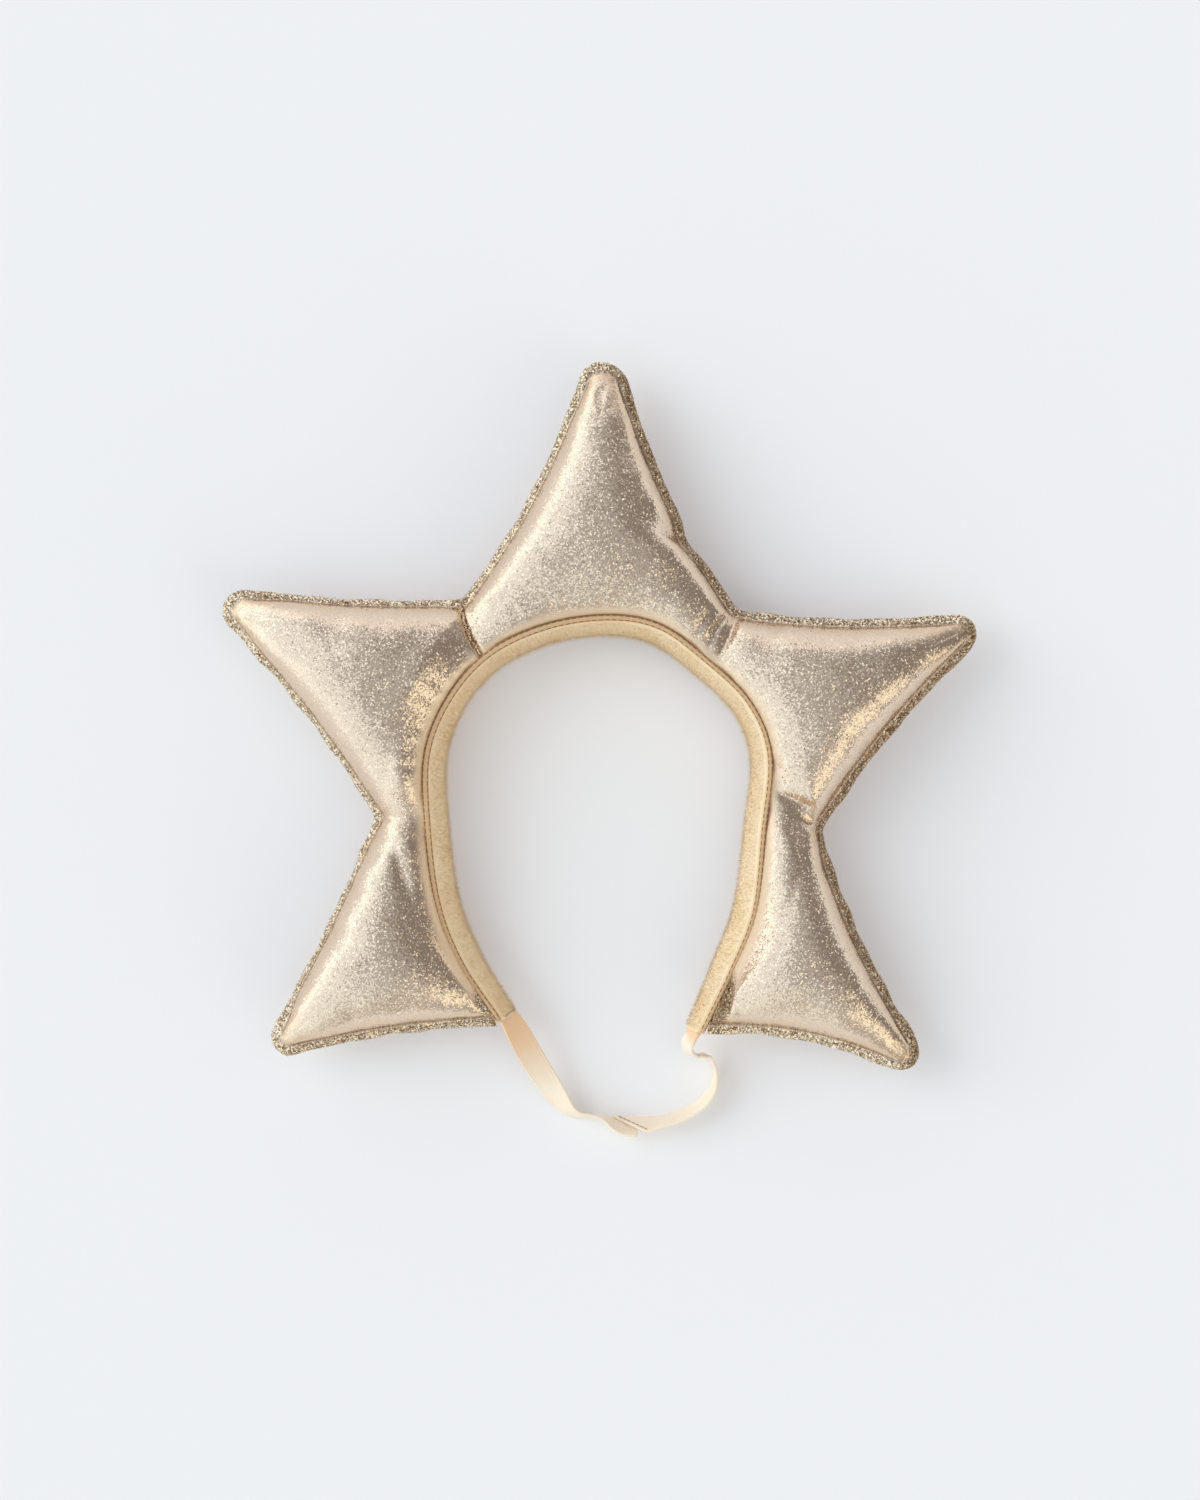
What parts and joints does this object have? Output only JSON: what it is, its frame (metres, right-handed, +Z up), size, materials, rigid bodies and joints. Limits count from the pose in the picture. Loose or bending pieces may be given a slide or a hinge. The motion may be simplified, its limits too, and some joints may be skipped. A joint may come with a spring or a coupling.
{
  "type": "padded star headband",
  "caption": "Padded star headband in gold glitter cloth, with stuffed points round a velvet covered head band and a flat elastic that closes it behind the head.",
  "frame": {"origin": "on the surface that the headband lies on, below the middle of the star's outline, without the elastic", "axes": "+Z up out of the front of the star, +Y towards the top point, +X to the right as seen from the front"},
  "size_m": [0.3016, 0.3114, 0.042],
  "materials": {
    "glitter_cloth": "gold glitter cloth with a metallic sheen and fine sparkle",
    "velvet": "short tan velvet",
    "welt_cloth": "matt folded cloth between two stitch lines",
    "elastic": "soft woven elastic, peach cream"
  },
  "bodies": {
    "root": {"point_top": "glitter_cloth", "point_upper_left": "glitter_cloth", "point_upper_right": "glitter_cloth", "point_lower_left": "glitter_cloth", "point_lower_right": "glitter_cloth", "band": "velvet", "front_welt": "welt_cloth", "elastic_left": "elastic", "elastic_right": "elastic"}
  },
  "joints": []
}
